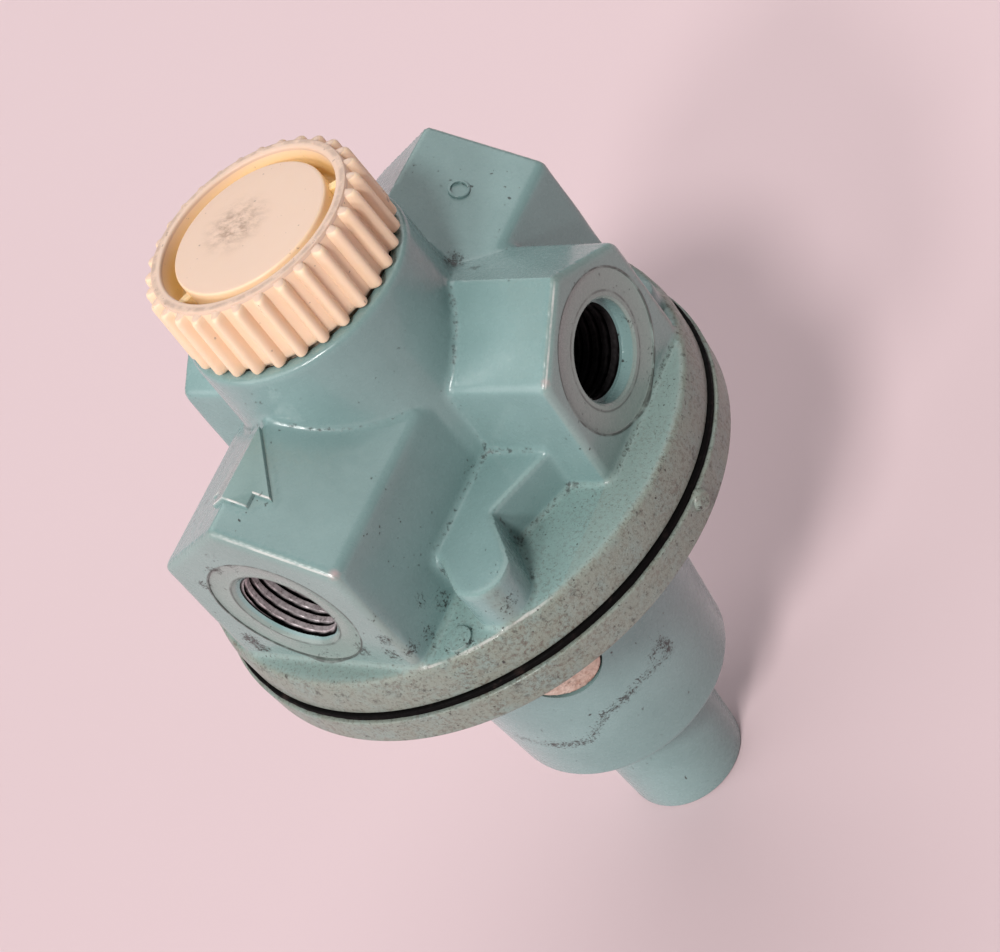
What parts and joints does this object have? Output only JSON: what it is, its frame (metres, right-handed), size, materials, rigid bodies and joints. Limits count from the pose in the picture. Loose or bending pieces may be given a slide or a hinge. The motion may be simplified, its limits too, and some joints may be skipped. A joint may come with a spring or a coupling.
{
  "type": "air pressure regulator",
  "caption": "Compressed-air pressure regulator: die-cast body with inlet, outlet and gauge ports, ribbed screw cap, clamped diaphragm and tapered spring bonnet with a key-set adjuster.",
  "frame": {"origin": "centre of the bonnet's end tube face, where the part stands", "axes": "+Z along the regulator's axis towards the ribbed cap, -Y out of the inlet port, +Y out of the outlet port, +X and -X out of the gauge ports"},
  "size_m": [0.078, 0.078, 0.1258],
  "materials": {
    "teal_casting": "satin grey-teal paint on a die casting, worn at the flange edges",
    "cream_cap": "aged cream moulded plastic",
    "black_rubber": "matt black rubber",
    "brass": "turned brass",
    "steel": "plain bright steel",
    "porous_bronze": "porous sintered bronze"
  },
  "bodies": {
    "housing": {"body_casting": "teal_casting", "bonnet_casting": "teal_casting", "vent_disc": "porous_bronze", "diaphragm": "black_rubber", "valve_seat": "brass", "seat_seal_ring": "black_rubber", "stem_guide": "brass", "thrust_washer": "steel", "valve_spring": "steel", "range_spring": "steel", "flange_screw_1": "steel", "flange_screw_2": "steel", "flange_screw_3": "steel", "flange_screw_4": "steel", "lock_washer_1": "steel", "lock_washer_2": "steel", "lock_washer_3": "steel", "lock_washer_4": "steel"},
    "cap_ring": {"cap_seal_ring": "black_rubber"},
    "cap": {"ribbed_cap": "cream_cap"},
    "stack": {"diaphragm_plate_upper": "steel", "diaphragm_plate_lower": "steel", "relief_bush": "brass"},
    "valve": {"valve_poppet": "brass", "poppet_rubber": "black_rubber", "valve_stem": "steel"},
    "adjuster": {"adjusting_screw": "steel", "retaining_ring": "steel"},
    "spring_seat": {"spring_nut": "brass"}
  },
  "joints": [
    {"name": "cap_lift", "type": "slide", "parent": "housing", "child": "cap_ring", "axis": [0, 0, 1], "range_m": [0, 0.006]},
    {"name": "cap_turn", "type": "hinge", "parent": "cap_ring", "child": "cap", "pos_m": [0, 0, 0.12], "axis": [0, 0, 1], "range_deg": [0, 1440]},
    {"name": "diaphragm_slide", "type": "slide", "parent": "housing", "child": "stack", "axis": [0, 0, 1], "range_m": [0, 0.0012], "stiffness_N_per_m": 100, "springref_m": -0.002, "deforming": ["diaphragm"]},
    {"name": "valve_slide", "type": "slide", "parent": "housing", "child": "valve", "axis": [0, 0, 1], "range_m": [0, 0.0012], "deforming": ["valve_spring"]},
    {"name": "adjust_turn", "type": "hinge", "parent": "housing", "child": "adjuster", "pos_m": [0, 0, 0.02], "axis": [0, 0, 1], "range_deg": [-1080, 720]},
    {"name": "nut_slide", "type": "slide", "parent": "housing", "child": "spring_seat", "axis": [0, 0, 1], "range_m": [-0.003, 0.0045], "deforming": ["range_spring"]}
  ],
  "couplings": [
    {"joint": "cap_lift", "follows": "cap_turn", "m_per_rad": 0.00023873},
    {"joint": "valve_slide", "follows": "diaphragm_slide", "ratio": 1},
    {"joint": "nut_slide", "follows": "adjust_turn", "m_per_rad": -0.00023873}
  ]
}
